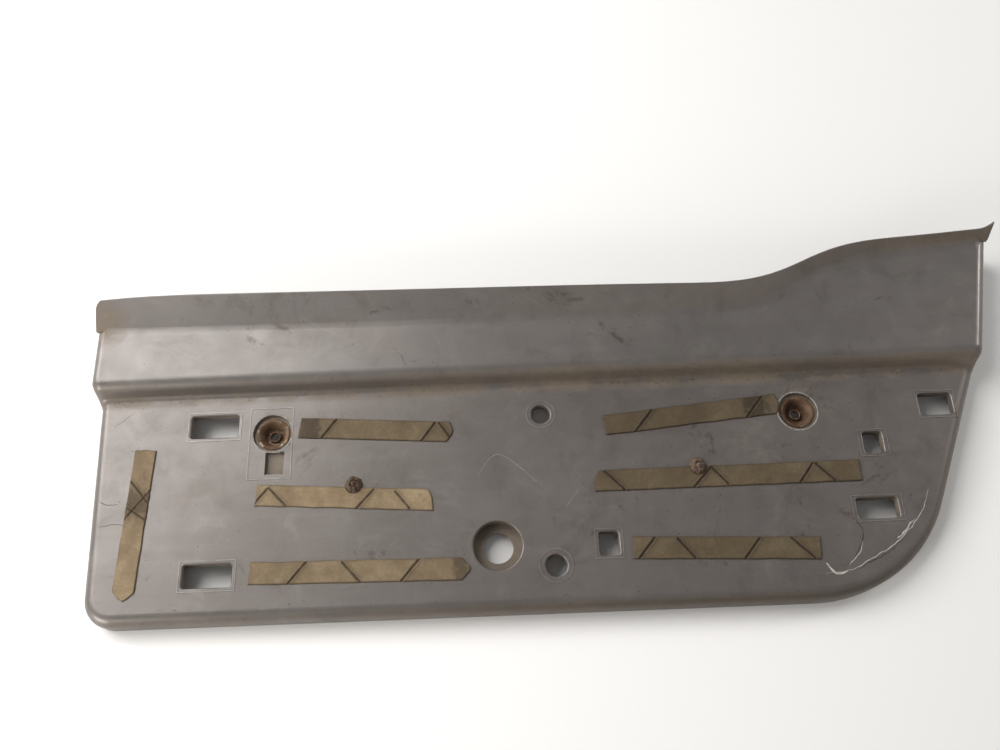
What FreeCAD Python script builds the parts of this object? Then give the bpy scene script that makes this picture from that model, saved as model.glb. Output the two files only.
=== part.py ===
"""Kick plate: the moulded lower panel of a door, lying on its rim with the fixing side up.

Units are millimetres.  +X runs along the panel to its swept-up end, +Y from the bottom edge to the lip,
+Z points away from the door-side opening of the rim, towards the taped fixing side.  The origin is the
centre of the bounding box on the plane that the rim stands on.
"""
import FreeCAD, Part
import math
import os
from FreeCAD import Vector, Placement, Rotation

DIMENSIONS = [
    # overall
    ("overall_length", 660.0), ("overall_width", 265.0),
    # moulded shell
    ("wall", 3.0), ("rim_height", 17.0), ("step_height", 13.0), ("lip_rise", 8.0),
    ("edge_round", 8.0), ("step_run", 5.0), ("step_convex", 9.2), ("step_concave", 4.0),
    ("step_place", 27.5), ("corner_left", 20.0), ("corner_right", 104.0), ("side_bend", 60.0),
    ("left_foot_inset", 10.5), ("left_waist_inset", 4.4), ("flare_low", 22.0), ("flare_high", 34.0),
    ("flare_round", 14.0), ("right_foot", 232.1), ("right_bend_inset", 24.7), ("right_bend_place", 33.0),
    ("lip_corner", 9.0), ("lip_bend", 14.0), ("lip_edge_round", 0.6), ("lip_inset", 0.4),
    # moulded openings
    ("bead_width", 0.7), ("bead_height", 0.3), ("collar_wall", 1.8), ("collar_depth", 3.2),
    ("window_corner", 2.2), ("hole_round", 1.1),
    # deep round socket
    ("socket_dia", 33.0), ("socket_depth", 9.0), ("socket_hole_dia", 21.0), ("socket_wall", 2.2),
    # cup seats, cups and eyelets
    ("seat_depth", 2.5), ("cup_dia", 23.5), ("cup_depth", 8.0), ("cup_sheet", 1.0),
    ("cup_flange", 0.8), ("cup_flange_reach", 0.9), ("eyelet_dia", 8.4), ("eyelet_bore", 5.4),
    ("eyelet_height", 2.4),
    ("pad_length", 53.0), ("pad_width", 30.8), ("pad_thickness", 2.6),
    ("slot_width", 13.2), ("slot_length", 16.5), ("slot_depth", 3.6),
    # foam tape
    ("tape_width", 15.0), ("tape_thickness", 1.1),
    # self-tapping screws
    ("screw_major", 4.8), ("screw_core", 3.4), ("thread_pitch", 1.8), ("screw_stand", 7.5),
    ("head_dia", 9.5), ("head_height", 3.0), ("tip_length", 4.5), ("tip_dia", 0.5),
    ("drive_span", 4.6), ("drive_width", 1.1), ("drive_depth", 1.4),
    ("burr_foot", 11.0), ("burr_top", 6.2), ("burr_height", 3.4),
]

# name, centre x, centre y, bead length, bead height, hole length, hole height
WINDOWS = [
    ("UpperLeft", -241.0, 4.0, 38.0, 21.6, 33.4, 16.4),
    ("LowerLeft", -238.0, -101.6, 38.4, 21.2, 33.0, 15.6),
    ("UpperRight", 267.8, -0.4, 27.4, 20.6, 23.2, 15.6),
    ("SmallRight", 218.9, -27.0, 20.4, 20.0, 13.2, 15.4),
    ("LowerRight", 213.3, -73.4, 34.4, 18.6, 27.8, 14.2),
    ("SmallMiddle", 30.6, -90.3, 19.2, 20.6, 13.4, 16.0),
]

# name, centre x, centre y, bead diameter, hole diameter
ROUND_HOLES = [
    ("RoundUpper", -10.6, 3.6, 21.0, 13.2),
    ("RoundLower", -5.4, -103.6, 23.0, 14.5),
]

SOCKET = (-43.9, -88.8)

# name, centre x, centre y, seat diameter
CUPS = [("left", -199.7, -2.7, 29.5), ("right", 170.4, -1.7, 27.8)]

PAD_CENTRE = (-200.8, -10.0)
SLOT_CENTRE = (-197.3, -24.7)

# name, middle x, middle y, length, turn in degrees
TAPES = [
    ("foam_tape_left_end", -290.3, -62.0, 101.0, 87.4),
    ("foam_tape_upper_left", -127.2, -3.3, 107.5, -4.0),
    ("foam_tape_middle_left", -147.8, -51.6, 121.5, -3.8),
    ("foam_tape_lower_left", -136.6, -102.4, 146.0, -0.9),
    ("foam_tape_upper_right", 95.2, -1.1, 122.8, 5.2),
    ("foam_tape_middle_right", 115.2, -46.8, 182.4, 0.1),
    ("foam_tape_lower_right", 108.3, -96.5, 124.5, -2.3),
]

# name, x, y, the tape it stands beside
SCREWS = [
    ("screw_left", -141.3, -42.9, "foam_tape_middle_left"),
    ("screw_right", 95.9, -39.3, "foam_tape_middle_right"),
]

# x, crease y, lip edge y, rise of the lip edge: the lip sweeps up and ends in a small pointed ear
LIP_LINE = [
    (-345.0, 76.8, 95.9, 0.0), (-312.0, 76.0, 98.7, 0.0), (-240.0, 74.8, 99.2, 0.0),
    (-100.0, 73.2, 96.5, 0.0), (30.0, 72.6, 94.3, 0.0), (100.0, 73.0, 92.5, 0.0),
    (132.0, 75.0, 92.5, 0.0), (156.0, 79.2, 95.9, 0.0), (176.0, 87.0, 102.5, 0.0),
    (198.0, 99.4, 112.1, 0.0), (222.0, 107.8, 119.5, 0.0), (260.0, 115.6, 123.7, 0.0),
    (300.0, 120.0, 126.3, 0.0), (316.0, 121.6, 127.5, 0.1), (324.0, 122.3, 128.5, 1.0),
    (329.0, 122.8, 130.5, 3.2), (334.0, 123.2, 133.5, 6.0),
]

doc = FreeCAD.newDocument("KickPlate")
sheet = doc.addObject("Spreadsheet::Sheet", "Dimensions")
for row, (alias, number) in enumerate(DIMENSIONS, start=1):
    sheet.set("A%d" % row, alias)
    sheet.set("B%d" % row, str(number))
    sheet.setAlias("B%d" % row, alias)
doc.recompute()


def size(alias):
    """The value of one cell of the sheet."""
    return float(sheet.get(alias))


def bind(obj, **expressions):
    """Tie properties of an object to the sheet."""
    for name, expression in expressions.items():
        obj.setExpression(name, expression)
    return obj


def cell(alias):
    return "Dimensions.%s" % alias


# ---------------------------------------------------------------- shell of the moulding

def offset_polygon(points, inset):
    """Move every side of a counter-clockwise polygon inwards and return the new corners."""
    count = len(points)
    lines = []
    for index, start in enumerate(points):
        end = points[(index + 1) % count]
        direction = (end - start).normalize()
        inward = Vector(-direction.y, direction.x, 0)
        lines.append((start + inward * inset, direction))
    corners = []
    for index in range(count):
        (origin_a, along_a), (origin_b, along_b) = lines[index - 1], lines[index]
        gap = origin_b - origin_a
        cross = along_a.x * along_b.y - along_a.y * along_b.x
        reach = (gap.x * along_b.y - gap.y * along_b.x) / cross
        corners.append(origin_a + along_a * reach)
    return corners


def rounded_wire(points, radii):
    """A closed flat wire through the points, each corner rounded by its radius."""
    count = len(points)
    stations = []
    for index, corner in enumerate(points):
        back = (points[index - 1] - corner).normalize()
        ahead = (points[(index + 1) % count] - corner).normalize()
        radius = radii[index]
        if radius <= 0:
            stations.append((corner, None, corner))
            continue
        half = back.getAngle(ahead) / 2
        reach = radius / math.tan(half)
        bisector = (back + ahead).normalize()
        middle = corner + bisector * (radius / math.sin(half) - radius)
        stations.append((corner + back * reach, middle, corner + ahead * reach))
    edges = []
    for index, (start, middle, end) in enumerate(stations):
        if middle is not None:
            edges.append(Part.Arc(start, middle, end).toShape())
        edges.append(Part.LineSegment(end, stations[(index + 1) % count][0]).toShape())
    return Part.Wire(edges)


def right_wall_x(y):
    """Where the right side wall of the raised band stands at a given y."""
    lean = size("right_bend_inset") / (size("overall_width") / 2 - size("right_bend_place"))
    return size("overall_length") / 2 + lean * (y - size("overall_width") / 2)


def plan_wire(inset, back):
    """The outline of the panel seen from above, carried on to the line y = back."""
    bottom = -size("overall_width") / 2
    left = -size("overall_length") / 2
    bend_y = size("right_bend_place")
    flare = size("flare_round")
    corners = [
        (left + size("left_foot_inset"), bottom, size("corner_left") - inset),
        (size("right_foot"), bottom, size("corner_right") - inset),
        (right_wall_x(bend_y), bend_y, size("side_bend") - inset),
        (right_wall_x(back), back, 0),
        (left, back, 0),
        (left, size("flare_high"), flare - inset),
        (left + size("left_waist_inset"), size("flare_low"), flare + inset),
    ]
    outline = offset_polygon([Vector(x, y, 0) for x, y, radius in corners], inset)
    return rounded_wire(outline, [radius for x, y, radius in corners])


def profile_face(inset, floor):
    """The section across the panel: main face, step and upper band, down to z = floor."""
    low = size("rim_height") - inset
    high = low + size("step_height")
    lean = math.atan2(size("step_height"), size("step_run"))
    foot = size("step_place") + inset * math.tan(lean / 2)
    reach = size("overall_width")
    section = [(-reach, floor), (reach, floor), (reach, high), (foot + size("step_run"), high),
               (foot, low), (-reach, low)]
    radii = [0, 0, 0, size("step_convex") - inset, size("step_concave") + inset, 0]
    flat = rounded_wire([Vector(y, z, 0) for y, z in section], radii)
    flat.rotate(Vector(0, 0, 0), Vector(1, 1, 1), 120)
    return Part.Face(flat)


def block(inset, floor, back):
    """The solid under the outer skin (inset 0) or under the inner skin (inset = wall)."""
    span = size("overall_length") * 2
    bar = profile_face(inset, floor)
    bar.translate(Vector(-span / 2, 0, 0))
    bar = bar.extrude(Vector(span, 0, 0))
    outline = plan_wire(inset, back)
    outline.translate(Vector(0, 0, floor))
    column = Part.Face(outline).extrude(Vector(0, 0, size("rim_height") + 2 * size("step_height")))
    solid = bar.common(column)
    rim_line = [
        edge for edge in solid.Edges
        if edge.BoundBox.ZMin > size("rim_height") - inset - 0.01
        and edge.BoundBox.YMin < back - 1
        and on_outline(edge, outline)
    ]
    return solid.makeFillet(size("edge_round") - inset, rim_line)


def on_outline(edge, outline):
    """True when an edge runs along the vertical walls, straight above the outline."""
    span = edge.LastParameter - edge.FirstParameter
    for share in (0.3, 0.7):
        point = edge.valueAt(edge.FirstParameter + share * span)
        point.z = outline.BoundBox.ZMin
        if outline.distToShape(Part.Vertex(point))[0] > 0.01:
            return False
    return True


def lip_curve(column, lift, shift=0.0, rises=False):
    """A smooth line along the lip: column 1 is the crease, column 2 the free edge."""
    points = [Vector(row[0], row[column] + shift, lift + (row[3] if rises else 0.0)) for row in LIP_LINE]
    curve = Part.BSplineCurve()
    curve.interpolate(Points=points, Parameters=[row[0] for row in LIP_LINE])
    return curve.toShape()


def lip_solid():
    """The lip beyond the crease: a leaning strip of the wall's thickness, a little thinner at its edge."""
    band = size("rim_height") + size("step_height")
    crest = band + size("lip_rise")
    crease_top = lip_curve(1, band)
    crease_under = lip_curve(1, band - size("wall"))
    edge_top = lip_curve(2, crest, rises=True)
    edge_under = lip_curve(2, crest - size("wall") * 0.85, size("wall") * 0.5, rises=True)
    rails = [crease_top, edge_top, edge_under, crease_under]
    faces = [Part.makeRuledSurface(rails[index - 1], rails[index]) for index in range(4)]
    for end in (0, 1):
        corners = [rail.Vertexes[end].Point for rail in rails]
        faces.append(Part.Face(Part.makePolygon(corners + corners[:1])))
    shell = Part.makeShell(faces)
    shell.sewShape()
    return Part.makeSolid(shell)


def trim_column():
    """The outline that trims the lip: in line with the side walls, rounded at the upper left."""
    bottom = -size("overall_width") / 2
    beyond = size("overall_width") / 2 + 10.0
    left = -size("overall_length") / 2 + size("lip_inset")
    lip_end = LIP_LINE[1][2] + 0.2
    corners = [
        Vector(left, bottom, 0),
        Vector(right_wall_x(bottom), bottom, 0),
        Vector(right_wall_x(beyond), beyond, 0),
        Vector(left, lip_end, 0),
    ]
    wire = rounded_wire(corners, [0, 0, 0, size("lip_corner")])
    return Part.Face(wire).extrude(Vector(0, 0, 200))


def back_column():
    """Everything in front of the crease, as a tall solid."""
    crease = lip_curve(1, -50)
    first, last = crease.Vertexes[0].Point, crease.Vertexes[-1].Point
    front = -size("overall_width")
    path = [last, Vector(last.x, front, -50), Vector(first.x, front, -50), first]
    sides = [Part.LineSegment(path[index], path[index + 1]).toShape() for index in range(3)]
    return Part.Face(Part.Wire([crease] + sides)).extrude(Vector(0, 0, 200))


def long_edges(solid, height):
    """The edges beyond the step that run most of the panel's length at one height."""
    return [
        edge for edge in solid.Edges
        if edge.BoundBox.XLength > size("overall_length") / 2
        and edge.BoundBox.YMin > size("step_place") + 20
        and abs(edge.BoundBox.ZMin - height) < 0.05
    ]


def shell_solid():
    beyond = size("overall_width") / 2 + 40.0
    outer = block(0.0, 0.0, beyond)
    inner = block(size("wall"), -5.0, beyond + 20.0)
    tray = outer.cut(inner).common(back_column())
    lip = lip_solid().common(trim_column())
    shell = tray.fuse(lip).removeSplitter().Solids[0]
    band = size("rim_height") + size("step_height")
    shell = shell.makeFillet(size("lip_bend"), long_edges(shell, band))
    shell = shell.makeFillet(size("lip_bend") + size("wall"), long_edges(shell, band - size("wall")))
    free_edges = [edge for edge in shell.Edges if edge.BoundBox.XLength > size("overall_length") / 2
                  and edge.BoundBox.ZMin > band + size("lip_rise") / 2]
    return shell.makeFillet(size("lip_edge_round"), free_edges)


# ---------------------------------------------------------------- the moulded panel

def amount(obj, prop, value):
    """Set a size from a number, or tie it to the sheet from an expression."""
    if isinstance(value, str):
        obj.setExpression(prop, value)
    else:
        setattr(obj, prop, value)


def text(value):
    return "(%s)" % value if isinstance(value, str) else repr(value)


def box(name, x, y, top, length, width, height):
    """A Part::Box given by its middle, its upper face and its three sizes (numbers or expressions)."""
    obj = doc.addObject("Part::Box", name)
    for prop, value in (("Length", length), ("Width", width), ("Height", height)):
        amount(obj, prop, value)
    obj.setExpression("Placement.Base.x", "%r - %s / 2" % (x, text(length)))
    obj.setExpression("Placement.Base.y", "%r - %s / 2" % (y, text(width)))
    obj.setExpression("Placement.Base.z", "%s - %s" % (top, text(height)))
    return obj


def cylinder(name, x, y, top, radius, height):
    """A Part::Cylinder given by its axis, its upper face, its radius and its height."""
    obj = doc.addObject("Part::Cylinder", name)
    for prop, value in (("Radius", radius), ("Height", height)):
        amount(obj, prop, value)
    obj.Placement.Base = Vector(x, y, 0)
    obj.setExpression("Placement.Base.z", "%s - %s" % (top, text(height)))
    return obj


def cone(name, x, y, base, low_radius, high_radius, height):
    """A Part::Cone standing on z = base."""
    obj = doc.addObject("Part::Cone", name)
    obj.setExpression("Radius1", low_radius)
    obj.setExpression("Radius2", high_radius)
    obj.setExpression("Height", height)
    obj.Placement.Base = Vector(x, y, 0)
    obj.setExpression("Placement.Base.z", base)
    return obj


def union(name, parts):
    obj = doc.addObject("Part::MultiFuse", name)
    obj.Shapes = parts
    return obj


def cut(name, base, tool):
    obj = doc.addObject("Part::Cut", name)
    obj.Base = base
    obj.Tool = tool
    return obj


def ring(name, outer, inner):
    """What is left of one primitive after another is taken from its middle."""
    return cut(name, outer, inner)


def rectangular_bead(name, x, y, length, width):
    """A thin raised line round a rectangle on the main face, left by an insert of the mould."""
    rise = cell("bead_height")
    inner_length = "%r - 2 * %s" % (length, cell("bead_width"))
    inner_width = "%r - 2 * %s" % (width, cell("bead_width"))
    return ring(name + "Bead",
                box(name + "BeadOuter", x, y, FACE + " + " + rise, length, width, "1 + " + rise),
                box(name + "BeadInner", x, y, FACE + " + 2", inner_length, inner_width, 6.0))


def round_bead(name, x, y, diameter):
    """A thin raised circle on the main face."""
    rise = cell("bead_height")
    return ring(name + "Bead",
                cylinder(name + "BeadOuter", x, y, FACE + " + " + rise, diameter / 2, "1 + " + rise),
                cylinder(name + "BeadInner", x, y, FACE + " + 2",
                         "%r - %s" % (diameter / 2, cell("bead_width")), 6.0))


def rounded_window(name, x, y, length, width):
    """A tall block with rounded upright corners, which cuts one window."""
    block_shape = box(name + "Block", x, y, FACE + " + 1", length, width, THROUGH)
    doc.recompute()
    upright = [
        (index, size("window_corner"), size("window_corner"))
        for index, edge in enumerate(block_shape.Shape.Edges, start=1)
        if edge.BoundBox.ZLength > THROUGH / 2
    ]
    hole = doc.addObject("Part::Fillet", name + "Hole")
    hole.Base = block_shape
    hole.Edges = upright
    return hole


FACE = cell("rim_height")
UNDER = "%s - %s" % (cell("rim_height"), cell("wall"))
THROUGH = 20.0

shell = doc.addObject("Part::Feature", "MouldedShell")
shell.Shape = shell_solid()

added = [shell]
removed = []

for name, x, y, length, width, hole_length, hole_width in WINDOWS:
    added.append(box(name + "Collar", x, y, UNDER,
                     "%r + 2 * %s" % (hole_length, cell("collar_wall")),
                     "%r + 2 * %s" % (hole_width, cell("collar_wall")), cell("collar_depth")))
    added.append(rectangular_bead(name, x, y, length, width))
    removed.append(rounded_window(name, x, y, hole_length, hole_width))

for name, x, y, bead_dia, hole_dia in ROUND_HOLES:
    added.append(cylinder(name + "Collar", x, y, UNDER, "%r + %s" % (hole_dia / 2, cell("collar_wall")),
                          cell("collar_depth")))
    added.append(round_bead(name, x, y, bead_dia))
    removed.append(cylinder(name + "Hole", x, y, FACE + " + 1", hole_dia / 2, THROUGH))

added.append(cylinder("SocketWall", SOCKET[0], SOCKET[1], UNDER,
                      "%s / 2 + %s" % (cell("socket_dia"), cell("socket_wall")),
                      "%s + %s - %s" % (cell("socket_depth"), cell("socket_wall"), cell("wall"))))
removed.append(cylinder("SocketPocket", SOCKET[0], SOCKET[1], FACE + " + 1", cell("socket_dia") + " / 2",
                        "1 + " + cell("socket_depth")))
removed.append(cylinder("SocketHole", SOCKET[0], SOCKET[1], FACE + " + 1",
                        cell("socket_hole_dia") + " / 2", THROUGH))

added.append(box("PadBacking", PAD_CENTRE[0], PAD_CENTRE[1], UNDER, cell("pad_width"),
                 cell("pad_length"), cell("pad_thickness")))
added.append(rectangular_bead("Pad", PAD_CENTRE[0], PAD_CENTRE[1], size("pad_width"), size("pad_length")))
removed.append(box("Slot", SLOT_CENTRE[0], SLOT_CENTRE[1], FACE + " + 1", cell("slot_width"),
                   cell("slot_length"), "1 + " + cell("slot_depth")))

for side, x, y, seat_dia in CUPS:
    tag = side.capitalize()
    added.append(cylinder("SeatBacking" + tag, x, y, UNDER, "%r + %s" % (seat_dia / 2, cell("collar_wall")),
                          cell("pad_thickness")))
    removed.append(cylinder("Seat" + tag, x, y, FACE + " + 1", seat_dia / 2, "1 + " + cell("seat_depth")))
    removed.append(cylinder("SeatHole" + tag, x, y, FACE + " + 1", cell("cup_dia") + " / 2", THROUGH))

for name, x, y, beside in SCREWS:
    added.append(cone(name + "_burr", x, y, FACE, cell("burr_foot") + " / 2", cell("burr_top") + " / 2",
                      cell("burr_height")))
    removed.append(cylinder(name + "_hole", x, y, FACE + " + 6", cell("screw_major") + " / 2", THROUGH))

stock = cut("PanelSharp", union("PanelStock", added), union("PanelOpenings", removed))
doc.recompute()


def at_hole_mouth(edge):
    """True for an edge of the main face that runs round a window, a round hole or the socket."""
    bounds = edge.BoundBox
    if abs(bounds.ZMin - size("rim_height")) > 0.01 or bounds.ZLength > 0.01:
        return False
    mouths = [(x, y, length, width) for name, x, y, bead_l, bead_w, length, width in WINDOWS]
    mouths += [(x, y, dia, dia) for name, x, y, bead_dia, dia in ROUND_HOLES]
    mouths.append((SOCKET[0], SOCKET[1], size("socket_dia"), size("socket_dia")))
    return any(bounds.XMin > x - length / 2 - 0.1 and bounds.XMax < x + length / 2 + 0.1
               and bounds.YMin > y - width / 2 - 0.1 and bounds.YMax < y + width / 2 + 0.1
               for x, y, length, width in mouths)


panel = doc.addObject("Part::Fillet", "Panel")
panel.Base = stock
panel.Edges = [(index, size("hole_round"), size("hole_round"))
               for index, edge in enumerate(stock.Shape.Edges, start=1) if at_hole_mouth(edge)]
panel.Label = "moulded_panel"
nodes = [panel]

# ---------------------------------------------------------------- steel cups and eyelets

for side, x, y, seat_dia in CUPS:
    tag = side.capitalize()
    seat = "%s - %s" % (FACE, cell("seat_depth"))
    rim_top = "%s + %s" % (seat, cell("cup_flange"))
    body = union("CupBody" + tag, [
        cylinder("CupWall" + tag, x, y, rim_top, cell("cup_dia") + " / 2",
                 "%s + %s" % (cell("cup_depth"), cell("cup_sheet"))),
        cylinder("CupFlange" + tag, x, y, rim_top,
                 "%s / 2 + %s" % (cell("cup_dia"), cell("cup_flange_reach")), cell("cup_flange")),
    ])
    hollow = union("CupHollow" + tag, [
        cylinder("CupInside" + tag, x, y, rim_top, "%s / 2 - %s" % (cell("cup_dia"), cell("cup_sheet")),
                 cell("cup_depth")),
        cylinder("CupBore" + tag, x, y, rim_top, cell("eyelet_dia") + " / 2", THROUGH),
    ])
    cup = cut("Cup" + tag, body, hollow)
    cup.Label = "steel_cup_" + side
    floor = "%s - %s - %s" % (rim_top, cell("cup_depth"), cell("cup_sheet"))
    tube_height = "%s + %s" % (cell("cup_sheet"), cell("eyelet_height"))
    tube = cylinder("EyeletTube" + tag, x, y, "%s + %s" % (floor, tube_height), cell("eyelet_dia") + " / 2",
                    tube_height)
    bore = cylinder("EyeletBore" + tag, x, y, "%s + %s + 1" % (floor, tube_height),
                    cell("eyelet_bore") + " / 2", THROUGH)
    eyelet = cut("Eyelet" + tag, tube, bore)
    eyelet.Label = "eyelet_" + side
    nodes += [cup, eyelet]

# ---------------------------------------------------------------- foam tapes

for name, x, y, length, turn in TAPES:
    strip = doc.addObject("Part::Box", name + "_strip")
    strip.Length = length
    bind(strip, Width=cell("tape_width"), Height=cell("tape_thickness"))
    along = math.radians(turn)
    half_length, half_width = length / 2, size("tape_width") / 2
    corner = Vector(x - math.cos(along) * half_length + math.sin(along) * half_width,
                    y - math.sin(along) * half_length - math.cos(along) * half_width,
                    size("rim_height"))
    strip.Placement = Placement(corner, Rotation(Vector(0, 0, 1), turn))
    clear = [cylinder(name + "_notch", screw_x, screw_y, FACE + " + 5",
                      cell("burr_foot") + " / 2 + 0.2", 10.0)
             for screw, screw_x, screw_y, beside in SCREWS if beside == name]
    tape = cut(name + "_cut", strip, clear[0]) if clear else strip
    tape.Label = name
    nodes.append(tape)

# ---------------------------------------------------------------- self-tapping screws

def screw_solid(name, x, y):
    """A pan-head self-tapping screw driven up through the panel, its tip standing proud."""
    head_low = "%s - %s" % (UNDER, cell("head_height"))
    head = cylinder(name + "_head", x, y, UNDER, cell("head_dia") + " / 2", cell("head_height") + " * 0.55")
    crown = cone(name + "_crown", x, y, head_low, cell("head_dia") + " * 0.36", cell("head_dia") + " / 2",
                 cell("head_height") + " * 0.45")
    straight = "%s + %s - %s" % (cell("wall"), cell("screw_stand"), cell("tip_length"))
    shank_top = "%s + %s" % (UNDER, straight)
    shank = cylinder(name + "_shank", x, y, shank_top, cell("screw_core") + " / 2", straight + " + 1")
    point = cone(name + "_point", x, y, shank_top, cell("screw_core") + " / 2", cell("tip_dia") + " / 2",
                 cell("tip_length"))
    pieces = [head, crown, shank, point]
    pieces += thread_ridges(name, x, y)
    drive_top = "%s + %s" % (head_low, cell("drive_depth"))
    drive = union(name + "_drive", [
        box(name + "_drive_a", x, y, drive_top, cell("drive_span"), cell("drive_width"), 3.0),
        box(name + "_drive_b", x, y, drive_top, cell("drive_width"), cell("drive_span"), 3.0),
    ])
    return cut(name + "_finished", union(name + "_solid", pieces), drive)


def thread_ridges(name, x, y):
    """The thread as stacked ridges, which get smaller where they run on to the point."""
    straight = size("wall") + size("screw_stand") - size("tip_length")
    half_pitch = cell("thread_pitch") + " * 0.4"
    ridges = []
    for turn in range(int(straight / size("thread_pitch")) + 2):
        base = "%s + %r * %s" % (UNDER, turn + 0.2, cell("thread_pitch"))
        past_straight = max(0.0, (turn + 1) * size("thread_pitch") - straight)
        shrink = round(past_straight * 0.35, 2)
        crest = "%s / 2 - %r" % (cell("screw_major"), shrink)
        root = "%s / 2 - %r" % (cell("screw_core"), shrink)
        ridges.append(cone("%s_rise_%d" % (name, turn), x, y, base, root, crest, half_pitch))
        ridges.append(cone("%s_fall_%d" % (name, turn), x, y, base + " + " + half_pitch, crest, root,
                           half_pitch))
    return ridges


for name, x, y, beside in SCREWS:
    screw = screw_solid(name, x, y)
    screw.Label = name
    nodes.append(screw)

doc.recompute()

# ---------------------------------------------------------------- check and write

faults = []
for obj in doc.Objects:
    if "Invalid" in obj.State or "Error" in obj.State:
        faults.append("%s: %s" % (obj.Name, obj.State))
for node in nodes:
    if node.Shape.isNull() or not node.Shape.isValid() or len(node.Shape.Solids) != 1:
        faults.append("%s: bad shape, %d solids" % (node.Label, len(node.Shape.Solids)))
if faults:
    raise SystemExit("\n".join(faults))

os.makedirs("parts", exist_ok=True)
for node in nodes:
    node.Shape.exportStep("parts/%s.step" % node.Label)
    bounds = node.Shape.optimalBoundingBox()
    print("%-24s volume %10.1f  x %.2f %.2f  y %.2f %.2f  z %.2f %.2f" % (
        node.Label, node.Shape.Volume, bounds.XMin, bounds.XMax, bounds.YMin, bounds.YMax,
        bounds.ZMin, bounds.ZMax))
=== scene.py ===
"""Kick plate, lying on its rim with the taped fixing side up.  Metres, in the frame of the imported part."""
import math
import random

import bpy
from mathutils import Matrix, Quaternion, Vector, noise
from mathutils.bvhtree import BVHTree


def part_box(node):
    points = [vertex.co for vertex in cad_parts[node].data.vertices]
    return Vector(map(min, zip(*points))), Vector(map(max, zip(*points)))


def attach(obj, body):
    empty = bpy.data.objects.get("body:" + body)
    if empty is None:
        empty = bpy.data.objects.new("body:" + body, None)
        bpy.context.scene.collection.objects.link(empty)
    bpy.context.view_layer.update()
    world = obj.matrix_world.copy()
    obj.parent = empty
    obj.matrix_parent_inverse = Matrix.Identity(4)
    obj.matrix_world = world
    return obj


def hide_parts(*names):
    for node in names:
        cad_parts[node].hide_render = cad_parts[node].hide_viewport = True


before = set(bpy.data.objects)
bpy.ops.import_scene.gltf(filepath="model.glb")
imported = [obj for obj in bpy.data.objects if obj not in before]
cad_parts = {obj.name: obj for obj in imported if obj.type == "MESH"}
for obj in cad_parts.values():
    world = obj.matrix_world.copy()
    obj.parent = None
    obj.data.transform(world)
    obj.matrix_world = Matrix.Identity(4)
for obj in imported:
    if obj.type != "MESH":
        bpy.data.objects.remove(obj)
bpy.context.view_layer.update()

MM = 0.001
SCENE = bpy.context.scene
DRAW = random.Random(41)


# ------------------------------------------------------------------ places read from the frame

def middle_of(node):
    low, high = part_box(node)
    return (low + high) / 2


FACE_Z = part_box("foam_tape_lower_left")[0].z
TAPE_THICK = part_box("foam_tape_lower_left")[1].z - FACE_Z
STEP_LINE = 27.5
STEP_Y = STEP_LINE * MM
STEP_HEIGHT = 13.0 * MM
BAND_Z = FACE_Z + STEP_HEIGHT
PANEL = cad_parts["moulded_panel"]
PANEL_SKIN = BVHTree.FromPolygons([vertex.co for vertex in PANEL.data.vertices],
                                  [list(face.vertices) for face in PANEL.data.polygons])


def on_panel(x, y):
    """The point of the panel's upper skin above (x, y)."""
    hit = PANEL_SKIN.ray_cast(Vector((x, y, 0.1)), Vector((0, 0, -1)))[0]
    return hit if hit else Vector((x, y, FACE_Z))


# ------------------------------------------------------------------ camera, light and floor

def make_camera():
    """A view from the bottom edge, looking down, as a person holding a camera over the part would."""
    aim = Vector((-38.0, 35.0, 17.0)) * MM
    distance = 684.0 * MM
    azimuth = math.radians(0.56)
    elevation = math.radians(66.86)
    roll = math.radians(-2.83)
    back = Vector((math.sin(azimuth) * math.cos(elevation), -math.cos(azimuth) * math.cos(elevation),
                   math.sin(elevation)))
    data = bpy.data.cameras.new("camera")
    data.sensor_width = 36.0
    data.lens = 34.2
    data.clip_start = 0.01
    camera = bpy.data.objects.new("camera", data)
    camera.location = aim + back * distance
    camera.rotation_mode = "QUATERNION"
    camera.rotation_quaternion = (-back).to_track_quat("-Z", "Y") @ Quaternion((0, 0, 1), roll)
    SCENE.collection.objects.link(camera)
    SCENE.camera = camera


def area_light(name, place, aim, width, height, power, tint):
    data = bpy.data.lights.new(name, "AREA")
    data.shape = "RECTANGLE"
    data.size = width
    data.size_y = height
    data.energy = power
    data.color = tint
    lamp = bpy.data.objects.new(name, data)
    lamp.location = place
    lamp.rotation_mode = "QUATERNION"
    lamp.rotation_quaternion = (Vector(aim) - Vector(place)).to_track_quat("-Z", "Y")
    SCENE.collection.objects.link(lamp)


def make_light():
    world = bpy.data.worlds.new("studio")
    world.use_nodes = True
    background = world.node_tree.nodes["Background"]
    background.inputs["Color"].default_value = (1.0, 0.98, 0.965, 1.0)
    background.inputs["Strength"].default_value = 0.27
    SCENE.world = world
    area_light("key", (-0.98, 0.62, 1.10), (-0.12, 0.02, 0.0), 1.2, 1.1, 24.0, (1.0, 0.985, 0.965))
    area_light("left_window", (-2.1, 0.95, 1.0), (-0.3, 0.0, 0.0), 0.5, 0.9, 11.0, (0.98, 0.99, 1.0))
    area_light("front_left", (-1.0, -0.75, 0.42), (-0.33, 0.02, 0.0), 0.5, 0.4, 9.0, (1.0, 0.975, 0.94))
    area_light("right_strip", (1.7, 0.72, 0.80), (0.3, 0.06, 0.0), 0.5, 0.10, 9.0, (1.0, 0.98, 0.95))
    SCENE.view_settings.view_transform = "Standard"
    SCENE.view_settings.look = "None"


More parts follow.
